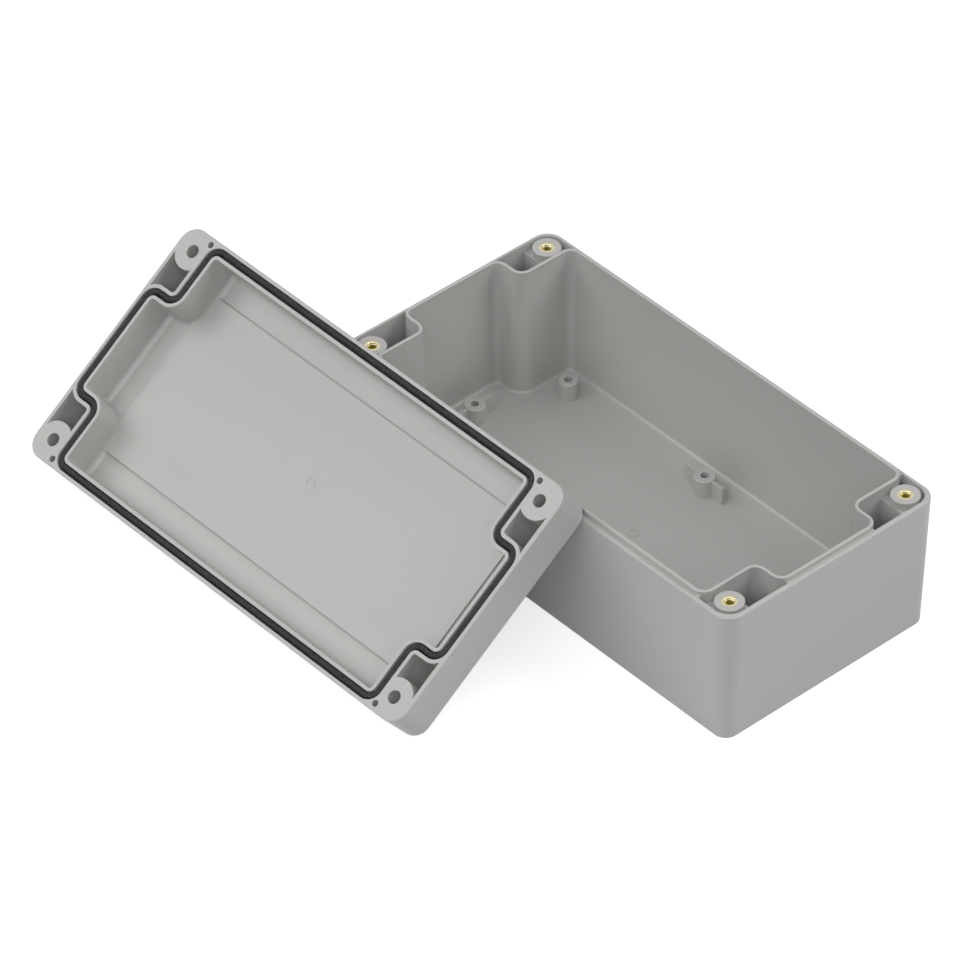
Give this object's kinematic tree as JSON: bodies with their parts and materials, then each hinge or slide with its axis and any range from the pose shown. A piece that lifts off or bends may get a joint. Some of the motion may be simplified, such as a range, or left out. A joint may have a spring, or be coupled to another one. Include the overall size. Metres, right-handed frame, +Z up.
{
  "type": "polycarbonate enclosure",
  "caption": "Sealed plastic electronics box lying open: deep base with board standoffs and brass inserts, and its lid with gasket leaning against it.",
  "frame": {"origin": "centre of the base's underside, which rests on the ground", "axes": "+Z up out of the base's open mouth, X along the base's length, the lid leaning against the -Y side"},
  "size_m": [0.2168, 0.1498, 0.0588],
  "materials": {
    "grey_polycarbonate": "fine moulded satin",
    "gasket_rubber": "dull",
    "insert_brass": "turned"
  },
  "bodies": {
    "root": {"enclosure_base": "grey_polycarbonate", "lid": "grey_polycarbonate", "lid_gasket": "gasket_rubber", "brass_insert_1": "insert_brass", "brass_insert_2": "insert_brass", "brass_insert_3": "insert_brass", "brass_insert_4": "insert_brass"}
  },
  "joints": []
}
